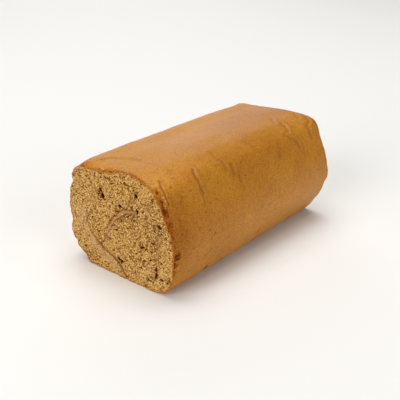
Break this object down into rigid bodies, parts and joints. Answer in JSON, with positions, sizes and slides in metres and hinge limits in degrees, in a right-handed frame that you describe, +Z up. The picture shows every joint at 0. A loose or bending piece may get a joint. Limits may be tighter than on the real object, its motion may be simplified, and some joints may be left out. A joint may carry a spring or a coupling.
{
  "type": "coffee roll",
  "caption": "Baked coffee sponge sheet rolled up round a thin coat of coffee cream, with a smooth skin outside and square-cut ends that show the spiral crumb.",
  "frame": {"origin": "middle of the roll's footprint, on the surface it lies on", "axes": "+X along the roll, from the front cut end to the back cut end; +Z up; +Y across the roll, to the left of someone who looks along +X"},
  "size_m": [0.175, 0.1024, 0.078],
  "materials": {
    "coffee_sponge": "baked golden-brown skin outside, open tan crumb on the cut ends",
    "coffee_cream": "soft matte cream soaked into the crumb beside it"
  },
  "bodies": {
    "root": {"sponge_sheet": "coffee_sponge", "coffee_cream": "coffee_cream"}
  },
  "joints": []
}
